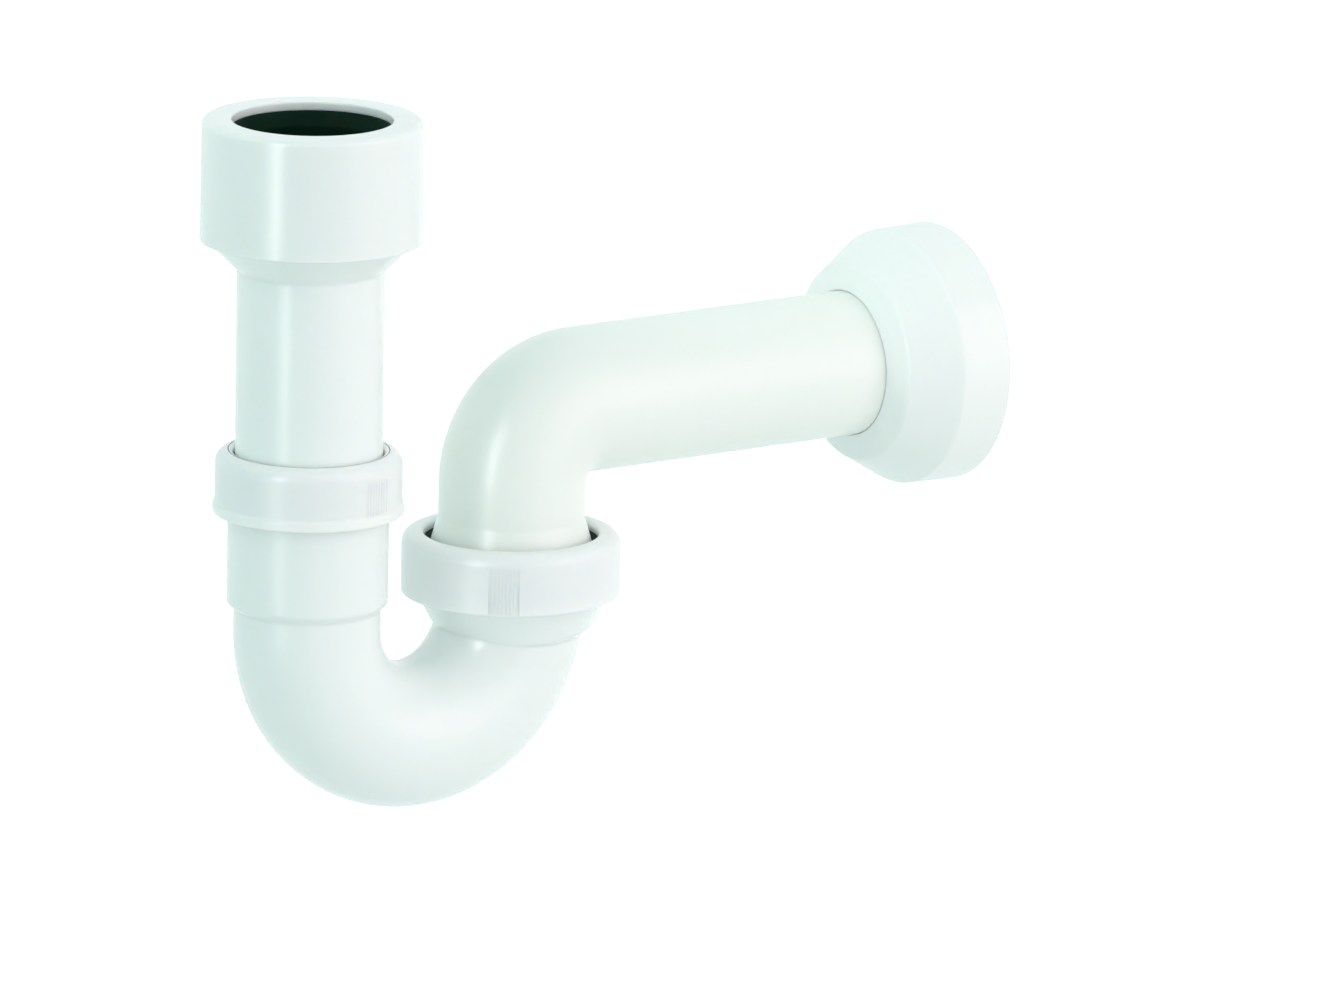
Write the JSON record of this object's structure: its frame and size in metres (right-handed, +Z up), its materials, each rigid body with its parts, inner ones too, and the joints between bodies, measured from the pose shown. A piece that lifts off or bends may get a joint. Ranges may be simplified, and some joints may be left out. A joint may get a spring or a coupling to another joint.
{
  "type": "urinal trap",
  "caption": "Plastic urinal trap with push-fit inlet collar, telescopic inlet tube, U-bend, swivelling outlet pipe and wall rosette, joined by union nuts.",
  "frame": {"origin": "centre of the inlet mouth, level with the top of the collar cap", "axes": "+Z up, along the inlet's axis and out of its mouth; +X along the outlet pipe, towards the wall; the trap lies symmetric about the XZ plane"},
  "size_m": [0.3034, 0.0894, 0.2431],
  "materials": {
    "white_plastic": "semi-gloss moulded polypropylene",
    "black_rubber": "smooth moulded rubber"
  },
  "bodies": {
    "inlet": {"collar_cap": "white_plastic", "inlet_seal": "black_rubber", "inlet_tube": "white_plastic"},
    "tube_seal": {"inlet_wedge_seal": "black_rubber"},
    "bend": {"u_bend": "white_plastic"},
    "slip_ring": {"inlet_slip_ring": "white_plastic"},
    "inlet_union_nut": {"inlet_nut": "white_plastic"},
    "mouth_seal": {"outlet_seal": "black_rubber"},
    "outlet_union_nut": {"outlet_nut": "white_plastic"},
    "outlet": {"outlet_bend": "white_plastic"},
    "rosette": {"wall_rosette": "white_plastic"}
  },
  "joints": [
    {"name": "height_slide", "type": "slide", "parent": "inlet", "child": "tube_seal", "axis": [0, 0, 1], "range_m": [-0.02, 0.014]},
    {"name": "bend_swivel", "type": "hinge", "parent": "tube_seal", "child": "bend", "pos_m": [0, 0, -0.1215], "axis": [0, 0, 1], "continuous": true},
    {"name": "inlet_nut_rise", "type": "slide", "parent": "bend", "child": "slip_ring", "axis": [0, 0, 1], "range_m": [0, 0.012]},
    {"name": "inlet_nut_turn", "type": "hinge", "parent": "slip_ring", "child": "inlet_union_nut", "pos_m": [0, 0, -0.1215], "axis": [0, 0, 1], "range_deg": [0, 1080]},
    {"name": "outlet_nut_rise", "type": "slide", "parent": "bend", "child": "mouth_seal", "axis": [0, 0, 1], "range_m": [0, 0.012]},
    {"name": "outlet_nut_turn", "type": "hinge", "parent": "mouth_seal", "child": "outlet_union_nut", "pos_m": [0.0824, 0, -0.1619], "axis": [0, 0, 1], "range_deg": [0, 1080]},
    {"name": "outlet_swivel", "type": "hinge", "parent": "bend", "child": "outlet", "pos_m": [0.0824, 0, -0.1619], "axis": [0, 0, 1], "range_deg": [-120, 120]},
    {"name": "rosette_slide", "type": "slide", "parent": "outlet", "child": "rosette", "axis": [1, 0, 0], "range_m": [-0.06, 0.02]}
  ],
  "couplings": [
    {"joint": "inlet_nut_rise", "follows": "inlet_nut_turn", "m_per_rad": 0.0006366},
    {"joint": "outlet_nut_rise", "follows": "outlet_nut_turn", "m_per_rad": 0.0006366}
  ]
}
